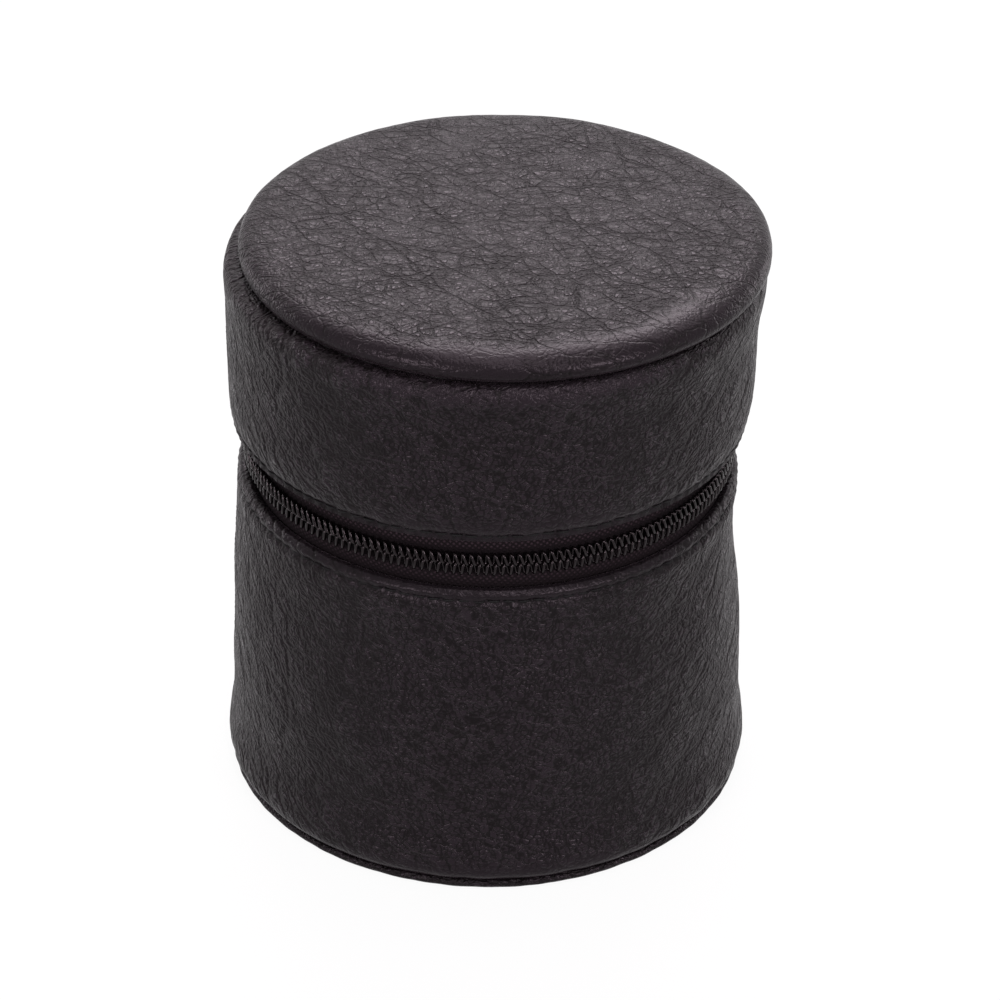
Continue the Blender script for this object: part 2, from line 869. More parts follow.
def outward(normal: Vector, azimuth: float) -> float:
    """Gives how much of a wall's surface faces out, from 0 on its inner side to 1."""
    return ease(normal.dot(polar(azimuth, 1.0, 0.0)), 0.0, 0.6)


def butt_seam(azimuth: float) -> float:
    """Gives the groove where the ends of a wall's leather meet at the back, 1 in its middle."""
    return hill(abs(abs(azimuth) - 180), 0, 0.7)


@dataclass
class Wall:
    """A padded wall: leather cover, foam, lining and sewing, in millimetres.

    Each kind of wall adds its own outline(), padding_outline(), move(), grain() and pulled().
    """

    finishes: Finishes
    word: str
    body: Body
    row: StitchRow
    map_radius: float
    lining_bottom: float
    lining_top: float
    lining_seed: float
    wrinkles: tuple[Wrinkles, ...]
    steps: int = 480

    def follow(self, azimuth: float, radius: float, height: float, normal: Vector) -> Vector:
        """Gives how a point inside the wall moves with it: not at all, where it stands true."""
        return Vector()

    def move_lining(self, azimuth: float, radius: float, height: float, normal: Vector) -> Vector:
        """Gives how a point of the lining moves as the cloth eases over its padding."""
        sunk = -0.12 - 0.12 * soft(polar(azimuth, radius, height), 9, self.lining_seed)
        return self.follow(azimuth, radius, height, normal) + polar(azimuth, sunk, 0)

    def move_threads(self, azimuth: float, radius: float, height: float, normal: Vector) -> Vector:
        """Gives how a point of the sewing moves with the wall."""
        return Vector()

    def wrinkled(self, azimuth: float, height: float) -> float:
        """Gives how far the wrinkles stand out at a place."""
        return sum(patch.at(azimuth, height) for patch in self.wrinkles)

    def build(self) -> None:
        """Makes the wall's pieces."""
        made, word, body = self.finishes, self.word, self.body
        cover = spun(self.outline(), self.steps)
        wrap_around(cover, self.map_radius)
        shape(cover, self.move)
        paint(cover, "grain", self.grain)
        paint(cover, "pulled", self.pulled)
        make_piece(f"{word}_wall_cover", cover, made.wall_leather, f"{word}_wall_leather", body)
        foam = spun(self.padding_outline(), PADDING_STEPS)
        shape(foam, self.follow)
        padding = make_piece(f"{word}_wall_padding", foam, made.foam, f"{word}_wall_foam", body)
        inner, outer = SIZES.lining_inner, SIZES.lining_outer
        bottom, top = self.lining_bottom, self.lining_top
        corners = [(inner, bottom), (outer, bottom), (outer, top), (inner, top)]
        cloth = spun(straight_run(corners, LINING_STEP), 200)
        wrap_around(cloth, inner)
        shape(cloth, self.move_lining)
        lining = make_piece(f"{word}_wall_cloth", cloth, made.lining, f"{word}_wall_lining", body)
        threads = self.row.thread_mesh()
        shape(threads, self.move_threads)
        make_piece(f"{word}_zip_stitches", threads, made.thread, f"{word}_zip_stitching", body)


@dataclass
class BodyWall(Wall):
    """The padded wall of the lower half."""

    word: str = "body"
    body: Body = Body.POUCH
    row: StitchRow = BODY_ROW
    map_radius: float = SIZES.belly
    lining_bottom: float = SIZES.base_lining_top
    lining_top: float = SIZES.body_top - 2.0
    lining_seed: float = 2.2
    wrinkles: tuple[Wrinkles, ...] = (
        Wrinkles(-40, 2.6, 5, 0.24, -88, 34, 30, 30, 1.0),
        Wrinkles(38, 2.6, 5, 0.24, 86, 32, 28, 30, 2.0),
        Wrinkles(-12, 6.0, 5, 0.22, -10, 50, 18, 14, 3.0),
        Wrinkles(15, 5.0, 4, 0.18, 45, 30, 40, 12, 4.0),
        Wrinkles(-48, 2.0, 3.5, -0.26, -76, 34, 28, 26, 21.0),
        Wrinkles(27, 1.9, 3.5, -0.24, 76, 34, 28, 26, 22.0),
        Wrinkles(-20, 4.0, 5, 0.25, 180, 50, 30, 22, 6.0),
        Wrinkles(20, 4.0, 5, 0.25, -180, 50, 30, 22, 6.0),
    )

    def outline(self) -> list[Point]:
        """Gives the cover's outline: outside up, over the turned edge, and down inside."""
        s = SIZES
        outside = [
            (s.base - 1.6, s.wall_bottom),
            (s.base - 0.2, s.wall_bottom),
            (s.base + 0.55, s.wall_bottom + 0.7),
            (s.foot, s.foot_z),
            (s.foot - 0.35, s.foot_z + 2.9),
            (s.pinch + 0.1, s.pinch_z - 0.8),
            (s.pinch - 0.1, s.pinch_z + 3.5),
            (s.belly + 0.05, s.belly_z - 4),
            (s.belly - 0.4, s.belly_z + 5.5),
            (s.waist + 0.25, s.waist_z - 3.5),
            (s.waist, s.waist_z + 2.5),
            (s.waist - 0.02, s.body_top - 1.6),
            (s.waist - 0.15, s.body_top - 0.75),
            (s.waist - 0.5, s.body_top - 0.18),
            (s.waist - 1.0, s.body_top),
        ]
        inside = [
            (s.hem_inner, s.body_top - 0.3),
            (s.hem_inner, s.hem_bottom),
            (s.waist - s.leather, s.hem_bottom),
            (s.waist - s.leather, s.waist_z),
            (s.belly - s.leather, s.belly_z),
            (s.pinch - s.leather, s.pinch_z),
            (s.foot - s.leather, s.foot_z + 0.9),
            (s.foot - s.leather, s.wall_bottom + 0.9),
            (s.flange_inner, s.wall_bottom + 0.9),
            (s.flange_inner, s.wall_bottom),
        ]
        return soft_run(outside, 0.55) + straight_run(inside, 2.5)

    def padding_outline(self) -> list[Point]:
        """Gives the foam's outline, from its foot inside and round."""
        s = SIZES
        corners = [
            (s.tape_inner, s.wall_foam_bottom),
            (s.foot - 1.45, s.wall_foam_bottom),
            (s.pinch - 1.3, s.pinch_z),
            (s.belly - 1.2, s.belly_z),
            (s.waist - 1.2, s.waist_z),
            (s.waist - 1.2, s.hem_bottom - 0.2),
            (s.hem_inner, s.hem_bottom - 0.2),
            (s.hem_inner, s.tape_bottom - 0.2),
            (s.tape_inner, s.tape_bottom - 0.2),
        ]
        return straight_run(corners, PADDING_STEP)

    def lean(self, azimuth: float, height: float) -> float:
        """Gives how far the worn wall stands out: more on its left, less at its right waist."""
        left, right = hill(azimuth, -90, 45), hill(azimuth, 90, 45)
        tucked = 1 - 0.85 * ease(height, 45.5, 49.5)
        return 0.6 * hill(height, 40, 12) * (left - right * tucked)

    def move(self, azimuth: float, radius: float, height: float, normal: Vector) -> Vector:
        """Gives how a point of the cover moves, from its place and normal."""
        weight = outward(normal, azimuth)
        if weight <= 0:
            return Vector()
        place = polar(azimuth, radius, height)
        calm = ease(height, 2, 9) * (1 - ease(height, 45.6, 48.6))
        out = self.lean(azimuth, height)
        out += 0.28 * calm * soft(place, 17, 3.1) + 0.1 * calm * soft(place, 6, 8.4)
        out += calm * self.wrinkled(azimuth, height)
        out += self.row.pull(azimuth, height)
        out += 0.2 * hill(height, 3.4, 3) * soft(Vector((place.x, place.y, 0)), 3.2, 5.5)
        out -= 0.45 * butt_seam(azimuth) * calm
        return polar(azimuth, out * weight, 0)

    def grain(self, azimuth: float, radius: float, height: float) -> float:
        """Gives the grain's strength: fainter in front, at the foot and at the turned edge."""
        side = 0.7 + 0.3 * ease(abs(azimuth), 25, 60)
        return side * ease(height, 1.5, 6) * (0.3 + 0.7 * ease(height, 50.2, 48.6))

    def pulled(self, azimuth: float, radius: float, height: float) -> float:
        """Gives how strongly the wall pleats: at its foot alone."""
        return 0.4 * ease(height, 8, 3)

    def move_threads(self, azimuth: float, radius: float, height: float, normal: Vector) -> Vector:
        """Gives how a point of the sewing moves with the leaning wall."""
        return polar(azimuth, self.lean(azimuth, height), 0)


@dataclass
class LidWall(Wall):
    """The padded wall of the lid."""

    word: str = "lid"
    body: Body = Body.LID
    row: StitchRow = LID_ROW
    map_radius: float = SIZES.lid_mid
    lining_bottom: float = SIZES.lid_bottom + 2.0
    lining_top: float = SIZES.wall_lining_top
    lining_seed: float = 3.3
    wrinkles: tuple[Wrinkles, ...] = (
        Wrinkles(-42, 2.2, 5, 0.18, -85, 36, 74, 14, 11.0),
        Wrinkles(35, 2.2, 5, 0.18, 85, 34, 74, 14, 12.0),
        Wrinkles(-15, 5.0, 4, 0.16, -20, 50, 76, 8, 13.0),
        Wrinkles(-48, 1.9, 3.5, -0.22, -74, 34, 74, 11, 23.0),
        Wrinkles(27, 1.8, 3.5, -0.2, 74, 34, 74, 11, 24.0),
        Wrinkles(25, 4.0, 5, 0.2, 180, 50, 74, 12, 14.0),
        Wrinkles(-25, 4.0, 5, 0.2, -180, 50, 74, 12, 14.0),
    )

    def outline(self) -> list[Point]:
        """Gives the cover's outline: outside up to the rim seam, and down inside."""
        s = SIZES
        outside = [
            (s.hem_inner + 1.0, s.lid_bottom + 0.08),
            (s.lid_edge - 0.6, s.lid_bottom + 0.02),
            (s.lid_edge - 0.15, s.lid_bottom + 0.35),
            (s.lid_edge, s.lid_bottom + 1.0),
            (s.lid_edge + 0.2, s.lid_flat_z - 2.0),
            (s.lid_flat, s.lid_flat_z + 1),
            (s.lid_mid - 0.1, s.lid_mid_z - 6),
            (s.lid_mid + 0.02, s.lid_mid_z),
            (s.lid_bulge - 0.1, s.lid_bulge_z - 1.6),
            (s.lid_bulge, s.lid_bulge_z - 0.1),
            (s.lid_bulge - 0.3, s.lid_wall_top - 0.9),
            (s.wall_turn - 0.1, s.lid_wall_top - 0.1),
            (s.wall_turn - 1.4, s.lid_wall_top),
        ]
        inside = [
            (s.flange_inner, s.lid_wall_top),
            (s.flange_inner, s.lid_wall_top - 0.9),
            (s.wall_turn - s.leather, s.lid_wall_top - 0.9),
            (s.lid_bulge - s.leather, s.lid_bulge_z - 0.9),
            (s.lid_mid - s.leather, s.lid_mid_z),
            (s.lid_flat - s.leather, s.lid_flat_z),
            (s.lid_edge - s.leather, s.lid_bottom + s.leather),
            (s.channel_inner, s.lid_bottom + s.leather),
            (s.channel_inner, s.lid_hem_top),
            (s.hem_inner, s.lid_hem_top),
            (s.hem_inner, s.lid_bottom + 0.2),
        ]
        return soft_run(outside, 0.5) + straight_run(inside, 2.5)

    def padding_outline(self) -> list[Point]:
        """Gives the foam's outline, from the zip's channel outwards and round."""
        s = SIZES
        corners = [
            (s.channel_inner + 0.15, s.lid_bottom + 1.15),
            (s.lid_edge - 1.15, s.lid_bottom + 1.15),
            (s.lid_flat - 1.15, s.lid_flat_z),
            (s.lid_mid - 1.15, s.lid_mid_z),
            (s.lid_bulge - 1.3, s.lid_bulge_z - 0.9),
            (s.wall_turn - 1.3, s.lid_wall_top - 1.05),
            (s.tape_inner, s.lid_wall_top - 1.05),
            (s.tape_inner, s.tape_top + 0.15),
            (s.hem_inner, s.tape_top + 0.15),
            (s.hem_inner, s.lid_hem_top + 0.15),
            (s.channel_inner + 0.15, s.lid_hem_top + 0.15),
        ]
        return straight_run(corners, PADDING_STEP)

    def move(self, azimuth: float, radius: float, height: float, normal: Vector) -> Vector:
        """Gives how a point of the cover moves, from its place and normal."""
        lean = lean_lid(azimuth, radius, height, normal)
        weight = outward(normal, azimuth)
        if weight <= 0:
            return lean
        place = polar(azimuth, radius, height)
        calm = ease(height, 62, 66) * (1 - ease(height, 82, 85))
        out = 0.22 * calm * soft(place, 15, 4.7) + 0.08 * calm * soft(place, 5, 9.2)
        out += calm * self.wrinkled(azimuth, height)
        out += self.row.pull(azimuth, height)
        around = polar(azimuth, SIZES.lid_bulge, 0)
        pucker = 0.6 * soft(around, 1.15, 6.6) + 0.7 * soft(around, 4.2, 1.9)
        out += 0.09 * pucker * hill(height, SIZES.lid_wall_top - 1.3, 2.0)
        out += 0.1 * soft(around, 2.1, 7.7) * hill(height, SIZES.lid_stitch_z + 1.5, 2.5)
        out -= 0.4 * butt_seam(azimuth) * calm
        return lean + polar(azimuth, out * weight, 0)

    def grain(self, azimuth: float, radius: float, height: float) -> float:
        """Gives the grain's strength: fainter in front and at the zip."""
        return (0.7 + 0.3 * ease(abs(azimuth), 20, 55)) * (0.4 + 0.6 * ease(height, 62, 66))

    def pulled(self, azimuth: float, radius: float, height: float) -> float:
        """Gives how strongly the wall pleats under the rim: most in front."""
        front = 1.7 - 1.2 * ease(abs(azimuth), 30, 60)
        return front * hill(height, 84.8, 1.2) + 0.15 * ease(height, 78, 84)

    def follow(self, azimuth: float, radius: float, height: float, normal: Vector) -> Vector:
        """Gives how a point inside the wall moves with the leaning lid."""
        return lean_lid(azimuth, radius, height, normal)


@dataclass
class LidDisc:
    """The padded disc on top: leather cover, foam, board, lining and rim sewing."""

    finishes: Finishes
    steps: int = 480

    def outline(self) -> list[Point]:
        """Gives the cover's outline: from the middle of its top to its rim, and back inside."""
        s = SIZES
        outside = [
            (0.0, s.disc_top),
            (17.6, s.disc_top - 0.06),
            (28.0, s.disc_top - 0.2),
            (33.0, s.disc_top - 0.42),
            (35.3, s.disc_top - 0.65),
            (36.6, s.disc_top - 0.98),
            (37.5, s.disc_top - 1.42),
            (38.1, s.disc_top - 1.95),
            (38.42, s.disc_top - 2.5),
            (38.56, s.disc_top - 3.1),
            (38.5, s.disc_top - 3.7),
            (38.1, s.disc_bottom + 0.4),
            (37.0, s.disc_bottom),
        ]
        inside = [
            (s.flange_inner, s.disc_bottom),
            (s.flange_inner, s.disc_bottom + 0.9),
            (s.disc - 1.3, s.disc_bottom + 0.9),
            (37.3, s.disc_bottom + 1.45),
            (36.0, s.disc_top - 2.25),
            (33.0, s.disc_top - 1.5),
            (17.6, s.disc_top - 1.12),
            (0.0, s.disc_top - 1.0),
        ]
        return soft_run(outside, 0.5) + straight_run(inside, 2.5)

    def padding_outline(self) -> list[Point]:
        """Gives the foam's outline, from the middle of its flat side to its crown."""
        s = SIZES
        bottom = s.lid_wall_top + 1.8
        corners = [
            (0.0, bottom),
            (s.board, bottom),
            (s.board, s.disc_top - 2.45),
            (33.0, s.disc_top - 1.7),
            (17.6, s.disc_top - 1.3),
            (0.0, s.disc_top - 1.15),
        ]
        return straight_run(corners, PADDING_STEP)

    def move(self, azimuth: float, radius: float, height: float, normal: Vector) -> Vector:
        """Gives how a point of the cover moves, from its place and normal."""
        lean = lean_lid(azimuth, radius, height, normal)
        facing = max(normal.z, normal.dot(polar(azimuth, 1.0, 0.0)))
        weight = ease(facing, 0.0, 0.5) * ease(height, SIZES.disc_bottom, SIZES.disc_bottom + 0.8)
        if height < SIZES.disc_top - 0.95 - 0.06 * radius and normal.z < 0:
            return lean
        flat = polar(azimuth, radius, 0)
        out = 0.16 * soft(flat, 16, 2.4) + 0.05 * soft(flat, 5, 7.1)
        rim = hill(radius, 37.2, 2.2)
        around = polar(azimuth, SIZES.disc, 0)
        out += rim * (0.03 * soft(around, 1.4, 4.4) + 0.05 * soft(around, 6.0, 3.6))
        out -= 0.45 * ease(abs(azimuth), 100, 150) * hill(radius, 38.4, 2.5)
        return lean + out * weight * normal

    def grain(self, azimuth: float, radius: float, height: float) -> float:
        """Gives the grain's strength: the front of the rim is drawn smooth, the rest is not."""
        front = 1 - ease(abs(azimuth), 45, 85)
        smooth = 0.75 * ease(radius, 32.5, 36.5)
        worn = 0.5 * ease(radius, 36.8, 38.4)
        return 1 - front * smooth - (1 - front) * worn

    def pulled(self, azimuth: float, radius: float, height: float) -> float:
        """Gives how strongly the hide pleats: round the rim's shoulder, and on its front."""
        front = hill(height, SIZES.disc_top - 2.6, 0.5) * (1 - ease(abs(azimuth), 30, 45))
        return 0.7 * hill(radius, 36.8, 1.1) + 0.7 * front

    def build(self) -> None:
        """Makes the disc's pieces."""
        s, made = SIZES, self.finishes
        bm = spun(self.outline(), self.steps, closed=False)
        wrap_around(bm, s.disc)
        shape(bm, self.move)
        paint(bm, "grain", self.grain)
        paint(bm, "pulled", self.pulled)
        cover = make_piece("lid_top_cover", bm, made.top_leather, "lid_top_leather", Body.LID)
        foam = spun(self.padding_outline(), DISC_PADDING_STEPS, closed=False)
        shape(foam, lean_lid)
        padding = make_piece("lid_top_padding", foam, made.foam, "lid_top_foam", Body.LID)
        cloth = slab(s.lining_outer, s.lid_lining_bottom, s.lid_lining_top, LINING_STEP, 160)
        shape(cloth, lean_lid)
        lining = make_piece("lid_top_cloth", cloth, made.disc_lining, "lid_top_lining", Body.LID)
        threads = RIM_ROW.thread_mesh()
        shape(threads, lean_lid)
        make_piece("lid_rim_stitches", threads, made.thread, "lid_rim_stitching", Body.LID)


@dataclass
class Base:
    """The flat base: leather disc, board, foam, lining and the sewing inside its seam."""

    finishes: Finishes
    steps: int = 360

    def outline(self) -> list[Point]:
        """Gives the cover's outline: from the middle below, round its edge, to the middle above."""
        s = SIZES
        below = [(0.0, 0.0), (s.base - 1.2, 0.0)]
        edge = [
            (s.base - 0.8, 0.0),
            (s.base - 0.2, 0.15),
            (s.base + 0.25, 0.75),
            (s.base - 0.1, 1.35),
            (s.base - 0.8, s.base_top),
        ]
        above = [(s.base - 2.4, s.base_top), (0.0, s.base_top)]
        return straight_run(below, 1.5) + soft_run(edge, 0.2) + straight_run(above, 3.0)

    def move(self, azimuth: float, radius: float, height: float, normal: Vector) -> Vector:
        """Gives how a point of the cover moves: its edge is a little uneven."""
        uneven = 0.16 * soft(polar(azimuth, SIZES.base, 0), 2.6, 5.5)
        return polar(azimuth, uneven * ease(radius, SIZES.base - 1.5, SIZES.base), 0)

    def move_lining(self, azimuth: float, radius: float, height: float, normal: Vector) -> Vector:
        """Gives how a point of the lining moves as the cloth eases over its padding."""
        eased = 0.15 * soft(polar(azimuth, radius, 0), 10, 4.4) * (1 - ease(radius, 26, 34))
        return Vector((0, 0, eased))

    def build(self) -> None:
        """Makes the base's pieces."""
        s, made = SIZES, self.finishes
        cover = spun(self.outline(), self.steps, closed=False)
        wrap_around(cover, s.base)
        shape(cover, self.move)
        paint(cover, "grain", lambda azimuth, radius, height: 0.8)
        make_piece("base_cover", cover, made.top_leather, "base_leather", Body.POUCH)
        foam = slab(s.lining_outer, s.base_foam_bottom, s.base_foam_top, 2.0, DISC_PADDING_STEPS)
        padding = make_piece("base_padding", foam, made.foam, "base_foam", Body.POUCH)
        cloth = slab(s.lining_outer, s.base_lining_bottom, s.base_lining_top, LINING_STEP, 160)
        shape(cloth, self.move_lining)
        lining = make_piece("base_cloth", cloth, made.disc_lining, "base_lining", Body.POUCH)
        threads = BASE_ROW.thread_mesh()
        make_piece("base_stitches", threads, made.thread, "base_stitching", Body.POUCH)


@dataclass
class Zip:
    """The coil zip: two woven tapes, two wound rows and their end stops, in millimetres."""

    finishes: Finishes
    pitch: float = 1.18
    end_angle: float = 141.0
    tape_angle: float = 147.0
    filament: float = 0.24
    sag: float = 0.42
    sunk: float = 0.55
    near: float = -0.2
    far: float = 1.4
    lean: float = 0.3
    spread: float = 1.3
    spread_start: float = 127.4
    spread_end: float = 131.1
    tape_gap: float = 0.3

    def parted(self, azimuth: float) -> float:
        """Gives how far a row stands off the middle beside and past the slider's wedge."""
        return self.spread * ease(azimuth, self.spread_start, self.spread_end)

    def winding(self) -> tuple[tuple[float, float, float, float], ...]:
        """Gives one turn of the filament.

        Returns:
            Its places: how far along it is, its radius, its distance from the middle, its width.
        """
        outer = SIZES.coil_outer - self.sunk - self.filament
        inner = SIZES.coil_inner + self.filament
        middle = (outer + inner) / 2
        return (
            (0.93, inner + 0.1, self.far - 0.05, 1.0),
            (1.02, (inner + middle) / 2, self.far + 0.2, 1.0),
            (1.11, (outer + middle) / 2, self.far + 0.22, 1.0),
            (1.20, outer, self.far, 1.0),
            (1.26, outer + 0.03, self.far - 0.5, 1.0),
            (1.31, outer + 0.03, self.far - 1.1, 1.05),
            (1.38, outer - 0.02, self.near + 0.35, 1.08),
            (1.50, middle, self.near, 1.1),
            (1.62, inner + 0.05, self.near + 0.35, 1.08),
            (1.70, inner, self.far - 1.15, 1.0),
            (1.82, inner, self.far - 0.55, 1.0),
        )

    def coil_mesh(self, side: int) -> Mesh:
        """Winds one row as a single filament.

        Args:
            side: 1 for the upper row, -1 for the lower one.

        Returns:
            The filament's mesh.
        """
        length = 2 * math.radians(self.end_angle) * SIZES.coil_outer
        count = round(length / self.pitch)
        step = 2 * self.end_angle / (count + 0.5)
        places = []
        for i in range(count):
            for along, radius, away, width in self.winding():
                raised = (away - self.near) / (self.far - self.near)
                turn = i + along - (1.0 + self.lean * raised if side > 0 else 0.5)
                azimuth = -self.end_angle + step * turn
                middle_z = SIZES.zip_centre - self.sag * (1 - ease(abs(azimuth), 70, 115))
                height = middle_z + side * (away + self.parted(azimuth))
                places.append((polar(azimuth, radius, height), width))
        curve = bpy.data.curves.new("filament", "CURVE")
        curve.dimensions = "3D"
        curve.bevel_depth = self.filament
        curve.bevel_resolution = 1
        curve.use_fill_caps = True
        spline = curve.splines.new("POLY")
        spline.points.add(len(places) - 1)
        for point, (place, width) in zip(spline.points, places):
            point.co = (*place, 1.0)
            point.radius = width
        wound = bpy.data.objects.new("filament", curve)
        mesh = bpy.data.meshes.new_from_object(wound)
        bm = bmesh.new()
        bm.from_mesh(mesh)
        bpy.data.objects.remove(wound)
        bpy.data.curves.remove(curve)
        bpy.data.meshes.remove(mesh)
        bmesh.ops.recalc_face_normals(bm, faces=bm.faces)
        return bm

    def part(
        self, side: int, azimuth: float, radius: float, height: float, normal: Vector
    ) -> Vector:
        """Gives how a point of a tape moves where the slider parts it from the other.

        Args:
            side: 1 for the upper tape, -1 for the lower one.
            azimuth: The point's azimuth.
            radius: Its radius.
            height: Its height.
            normal: Its normal.

        Returns:
            The movement.
        """
        close = 1 - ease(abs(height - SIZES.zip_centre), 1.0, 5.0)
        return Vector((0, 0, side * close * self.parted(azimuth)))

    def shade(self, azimuth: float, radius: float, height: float) -> float:
        """Gives how dark a tape is: under the body's edge, and behind the coil."""
        under_edge = ease(height, 53.4, 51.4)
        return max(under_edge, ease(abs(height - SIZES.zip_centre + self.sag), 2.6, 1.9))

    def tape_mesh(self, side: int) -> Mesh:
        """Makes one tape.

        Args:
            side: 1 for the upper tape, -1 for the lower one.

        Returns:
            The tape's mesh.
        """
        s = SIZES
        near = s.zip_centre + side * self.tape_gap
        far = s.tape_top if side > 0 else s.tape_bottom
        corners = [
            (s.tape_inner, near),
            (s.tape_outer, near),
            (s.tape_outer, far),
            (s.tape_inner, far),
        ]
        outline = straight_run(corners, 0.6)
        bm = spun(outline, 290, start=-self.tape_angle, sweep=2 * self.tape_angle)
        wrap_around(bm, s.tape_outer)
        shape(bm, partial(self.part, side))
        paint(bm, "shade", self.shade)
        return bm

    def build(self) -> None:
        """Makes the tapes and the rows."""
        s, made = SIZES, self.finishes
        for side, word, body in ((-1, "lower", Body.POUCH), (1, "upper", Body.LID)):
            tape = make_piece(
                f"{word}_tape", self.tape_mesh(side), made.tape, f"{word}_zip_tape", body
            )
            make_piece(f"{word}_coil", self.coil_mesh(side), made.coil, f"{word}_zip_coil", body)


@dataclass
class Hinge:
    """The strip behind, where the zip ends: leather outside and lining inside."""

    finishes: Finishes
    start: float = 148.5
    sweep: float = 63.0

    def slacken(self, azimuth: float, radius: float, height: float, normal: Vector) -> Vector:
        """Gives how a point of a strip moves: slack across the gap, with a crease."""
        middle = SIZES.zip_centre
        edge = ease(180 - abs(azimuth), self.sweep / 2, 26)
        bow = 0.55 * hill(height, middle, 2.6) * edge
        crease = 0.25 * hill(height, middle + 0.3 * soft(polar(azimuth, radius, 0), 6, 1), 0.5)
        return polar(azimuth, bow - crease * edge, 0)

    def strip(self, inner: float, outer: float, low: float, high: float) -> Mesh:
        """Makes one strip from its radii and heights."""
        outline = straight_run([(inner, low), (outer, low), (outer, high), (inner, high)], 0.5)
        bm = spun(outline, 80, start=self.start, sweep=self.sweep)
        wrap_around(bm, outer)
        shape(bm, self.slacken)
        return bm

    def join(self, piece: Object, outer: float) -> None:
        """Says that a strip is held by the body and the lid, and bends between them.

        Args:
            piece: The strip.
            outer: Its outer radius.
        """
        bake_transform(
            piece,
            Body.POUCH.value,
            Body.LID.value,
            start=(0, outer * MM, (SIZES.body_top + 0.4) * MM),
            end=(0, outer * MM, (SIZES.lid_bottom - 0.4) * MM),
        )

    def build(self) -> None:
        """Makes the two strips."""
        s, made = SIZES, self.finishes
        outside = self.strip(s.tape_inner, s.tape_outer, s.tape_bottom, s.tape_top)
        paint(outside, "grain", lambda azimuth, radius, height: 0.6)
        cover = make_piece("hinge_cover", outside, made.wall_leather, "hinge_leather", None)
        self.join(cover, s.tape_outer)
        low, high = s.hinge_lining_bottom, s.hinge_lining_top
        inside = self.strip(s.lining_inner, s.lining_outer, low, high)
        cloth = make_piece("hinge_cloth", inside, made.lining, "hinge_lining", None)
        self.join(cloth, s.lining_outer)


@dataclass
class Hardware:
    """The metal pieces: slider, pull and end stops, with their edges broken."""

    finishes: Finishes
    weld: float = 1e-3
    flat_angle: float = 1.0
    sharp_angle: float = 25.0

    def eased(self, node: str, name: str, body: Body, width: float) -> None:
        """Copies a solid, joins its flat faces and rounds its edges.

        Args:
            node: The solid's node.
            name: The new piece's name.
            body: The body that it rides on.
            width: How far the rounding reaches, in millimetres.
        """
        solid = bpy.data.objects[node]
        bm = bmesh.new()
        bm.from_mesh(solid.data)
        bmesh.ops.transform(bm, matrix=solid.matrix_world, verts=bm.verts)
        bmesh.ops.scale(bm, vec=(1 / MM,) * 3, verts=bm.verts)
        bmesh.ops.remove_doubles(bm, verts=bm.verts, dist=self.weld)
        flat = math.radians(self.flat_angle)
        bmesh.ops.dissolve_limit(bm, angle_limit=flat, verts=bm.verts, edges=bm.edges)
        sharp = math.radians(self.sharp_angle)
        corners = [edge for edge in bm.edges if edge.is_manifold and edge.calc_face_angle() > sharp]
        bmesh.ops.bevel(
            bm,
            geom=corners,
            offset=width,
            offset_type="OFFSET",
            segments=3,
            profile=0.5,
            affect="EDGES",
            clamp_overlap=True,
            material=-1,
        )
        make_piece(name, bm, self.finishes.metal, node, body)

    def build(self) -> None:
        """Makes the metal pieces."""
        self.eased("zip_slider", "slider_body", Body.SLIDER, 0.14)
        self.eased("pull_tab", "pull_plate", Body.PULL, 0.16)
        self.eased("lower_zip_stop", "lower_end_stop", Body.POUCH, 0.25)
        self.eased("upper_zip_stop", "upper_end_stop", Body.LID, 0.25)
        self.eased("zip_bottom_stop", "bottom_stop", Body.POUCH, 0.25)
        for node in ("base_board", "lid_top_board"):
            solid = bpy.data.objects[node]
            solid.data.materials.clear()
            solid.data.materials.append(self.finishes.board)


# Studio


@dataclass(frozen=True)
class Softbox:
    """An area lamp that faces the pouch, in metres. A level of 1 makes its face white."""

    name: str
    place: tuple[float, float, float]
    width: float
    height: float
    level: float
    tint: tuple[float, float, float] = (1.0, 0.92, 0.965)

    def hang(self) -> None:
        """Puts the lamp in the scene."""
        lamp = bpy.data.lights.new(self.name, "AREA")
        lamp.shape = "RECTANGLE"
        lamp.size, lamp.size_y = self.width, self.height
        lamp.energy = self.level * math.pi * self.width * self.height
        lamp.color = self.tint
        hung = bpy.data.objects.new(self.name, lamp)
        hung.location = self.place
        aim = Vector((0, 0, 0.05)) - Vector(self.place)
        hung.rotation_euler = aim.to_track_quat("-Z", "Y").to_euler()
        bpy.context.scene.collection.objects.link(hung)


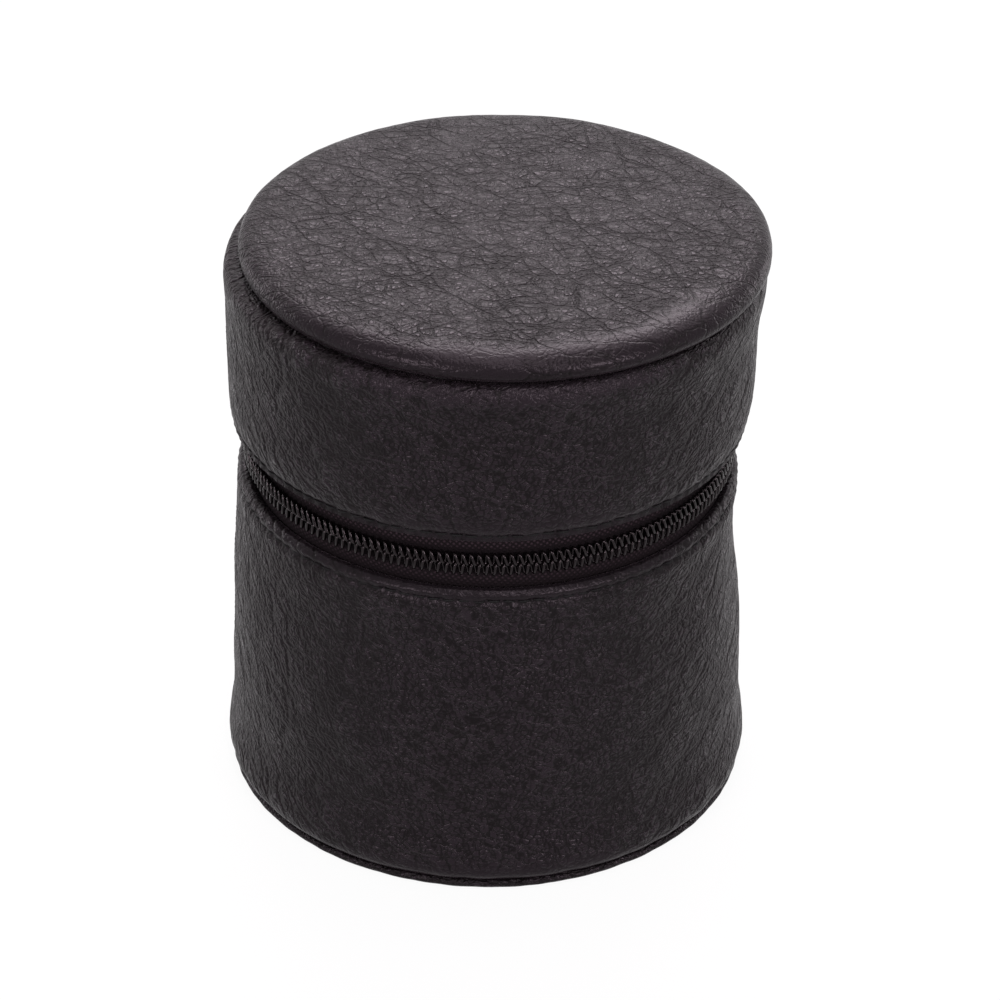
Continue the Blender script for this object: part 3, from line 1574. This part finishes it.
@dataclass
class Studio:
    """The camera, the soft light and the pale floor, in metres."""

    camera_place: tuple[float, float, float] = (0.00173, -0.49364, 0.35733)
    target: tuple[float, float, float] = (0.00173, 0.0, 0.04341)
    lens: float = 139.8
    roll: float = 0.77
    room_level: float = 0.4
    floor_reach: float = 6.0
    floor_level: float = 1.03
    floor_share: float = 0.9
    softboxes: tuple[Softbox, ...] = (
        Softbox("rear_window", (0.0, 0.55, 0.62), 0.5, 0.5, 9.0),
        Softbox("overhead_strip", (0.0, 0.0, 0.85), 0.4, 0.8, 4.2),
        Softbox("left_loft", (-0.345, 0.29, 0.67), 0.42, 0.26, 3.0),
        Softbox("right_loft", (0.345, 0.29, 0.67), 0.42, 0.26, 3.0),
        Softbox("front_key", (0.12, -0.5, 0.62), 0.16, 0.16, 18.0),
        Softbox("left_fill", (-0.46, -0.62, 0.28), 0.26, 0.26, 16.0),
        Softbox("right_fill", (0.48, -0.62, 0.28), 0.28, 0.26, 17.0),
        Softbox("left_wing", (-0.62, 0.4, 0.14), 0.24, 0.24, 5.7),
        Softbox("right_wing", (0.62, 0.4, 0.14), 0.24, 0.24, 4.8),
    )

    def set_camera(self) -> None:
        """Puts the camera where the photograph's was."""
        scene = bpy.context.scene
        data = bpy.data.cameras.new("camera")
        data.lens = self.lens
        data.sensor_width = 36.0
        data.clip_start = 0.01
        camera = bpy.data.objects.new("camera", data)
        aim = (Vector(self.target) - Vector(self.camera_place)).to_track_quat("-Z", "Y")
        turn = aim.to_matrix() @ Matrix.Rotation(math.radians(self.roll), 3, "Z")
        camera.matrix_world = Matrix.Translation(self.camera_place) @ turn.to_4x4()
        scene.collection.objects.link(camera)
        scene.camera = camera

    def looking_rays(self, add: Adder) -> Socket:
        """Adds the nodes that give 1 for the rays that show the background, and 0 for others."""
        largest = {"operation": "MAXIMUM"}
        rays = add("LightPath").outputs
        mirrored = add("Math", {0: rays["Is Glossy Ray"], 1: rays["Is Transmission Ray"]}, largest)
        return add("Math", {0: rays["Is Camera Ray"], 1: mirrored}, largest).outputs[0]

    def make_world(self) -> bpy.types.World:
        """Makes the room: white to the camera and in mirrors, and a dim light elsewhere."""
        world = bpy.data.worlds.new("studio")
        world.use_nodes = True
        world.node_tree.nodes.clear()
        add = partial(add_node, world.node_tree)
        white = add("Background", {"Color": (1, 1, 1, 1), "Strength": 1.0})
        room = add("Background", {"Color": (1, 1, 1, 1), "Strength": self.room_level})
        shown = add("MixShader", {0: self.looking_rays(add), 1: room, 2: white})
        add("OutputWorld", {"Surface": shown})
        return world

    def floor_material(self) -> Material:
        """Makes the pale floor: white to the camera, but with the pouch's shadow on it."""
        material, add = new_material("white_paper_sweep")
        paper = add("BsdfDiffuse", {"Color": linear("#b4b4b4")})
        glow = add("Emission", {"Color": (1, 1, 1, 1), "Strength": self.floor_level})
        share = add("Math", {0: self.looking_rays(add), 1: self.floor_share}, MULTIPLY)
        add("OutputMaterial", {"Surface": add("MixShader", {0: share, 1: paper, 2: glow})})
        return material

    def build(self) -> None:
        """Sets the camera, the lamps, the world and the floor."""
        bpy.context.scene.view_settings.view_transform = "Standard"
        self.set_camera()
        for softbox in self.softboxes:
            softbox.hang()
        bpy.context.scene.world = self.make_world()
        bm = bmesh.new()
        bmesh.ops.create_grid(bm, x_segments=1, y_segments=1, size=self.floor_reach / MM)
        floor = add_object("floor", bm, self.floor_material())


def main() -> None:
    """Builds the pouch and its studio."""
    logging.basicConfig(level=logging.INFO, format="%(message)s")
    Studio().build()
    finishes = Finishes()
    for assembly in (BodyWall, Base, LidWall, LidDisc, Zip, Hinge, Hardware):
        LOG.info("Building %s", assembly.__name__)
        assembly(finishes).build()


if __name__ == "__main__":
    main()
